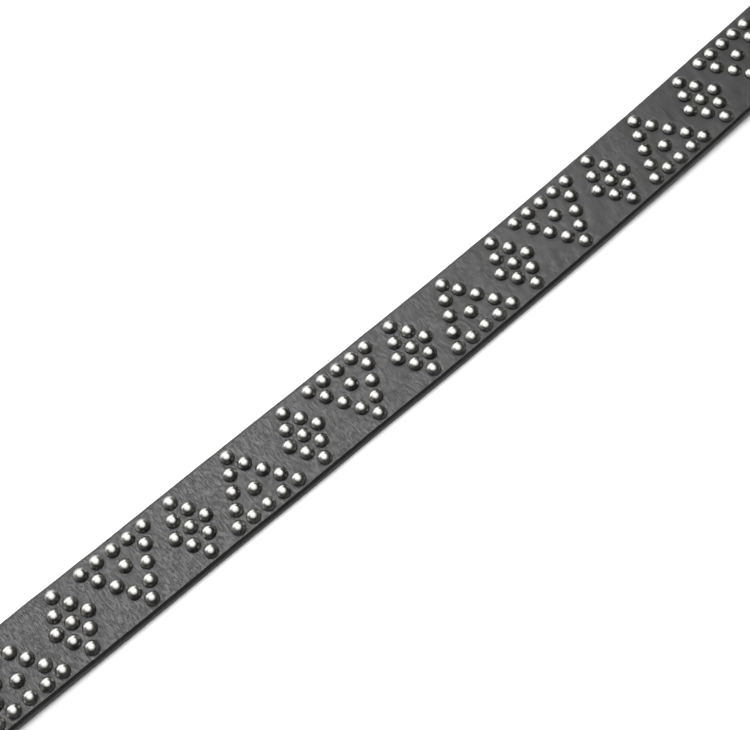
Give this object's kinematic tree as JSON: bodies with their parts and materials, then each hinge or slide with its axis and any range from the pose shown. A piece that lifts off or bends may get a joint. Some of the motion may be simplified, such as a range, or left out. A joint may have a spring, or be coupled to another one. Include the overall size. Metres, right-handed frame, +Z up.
{
  "type": "studded belt",
  "caption": "Black leather belt laid out flat, its strap set with rows of polished metal dome studs in lozenge and triangle motifs, with a plain single-prong buckle and a keeper loop.",
  "frame": {"origin": "bottom centre of the belt's bounding box, on the surface that the belt lies on", "axes": "+X along the strap from the buckle to the tip, +Z up through the studded face, +Y across the strap to the side that it bows to"},
  "size_m": [1.0144, 0.0822, 0.0132],
  "materials": {
    "strap_leather": "satin, finely creased",
    "keeper_leather": "satin, finely creased",
    "stud_metal": "polished",
    "buckle_metal": "polished",
    "rivet_metal": "polished"
  },
  "bodies": {
    "root": {"studded_strap": "strap_leather", "buckle": "buckle_metal", "keeper_loop": "keeper_leather", "fold_rivet_left": "rivet_metal", "fold_rivet_right": "rivet_metal"}
  },
  "joints": []
}
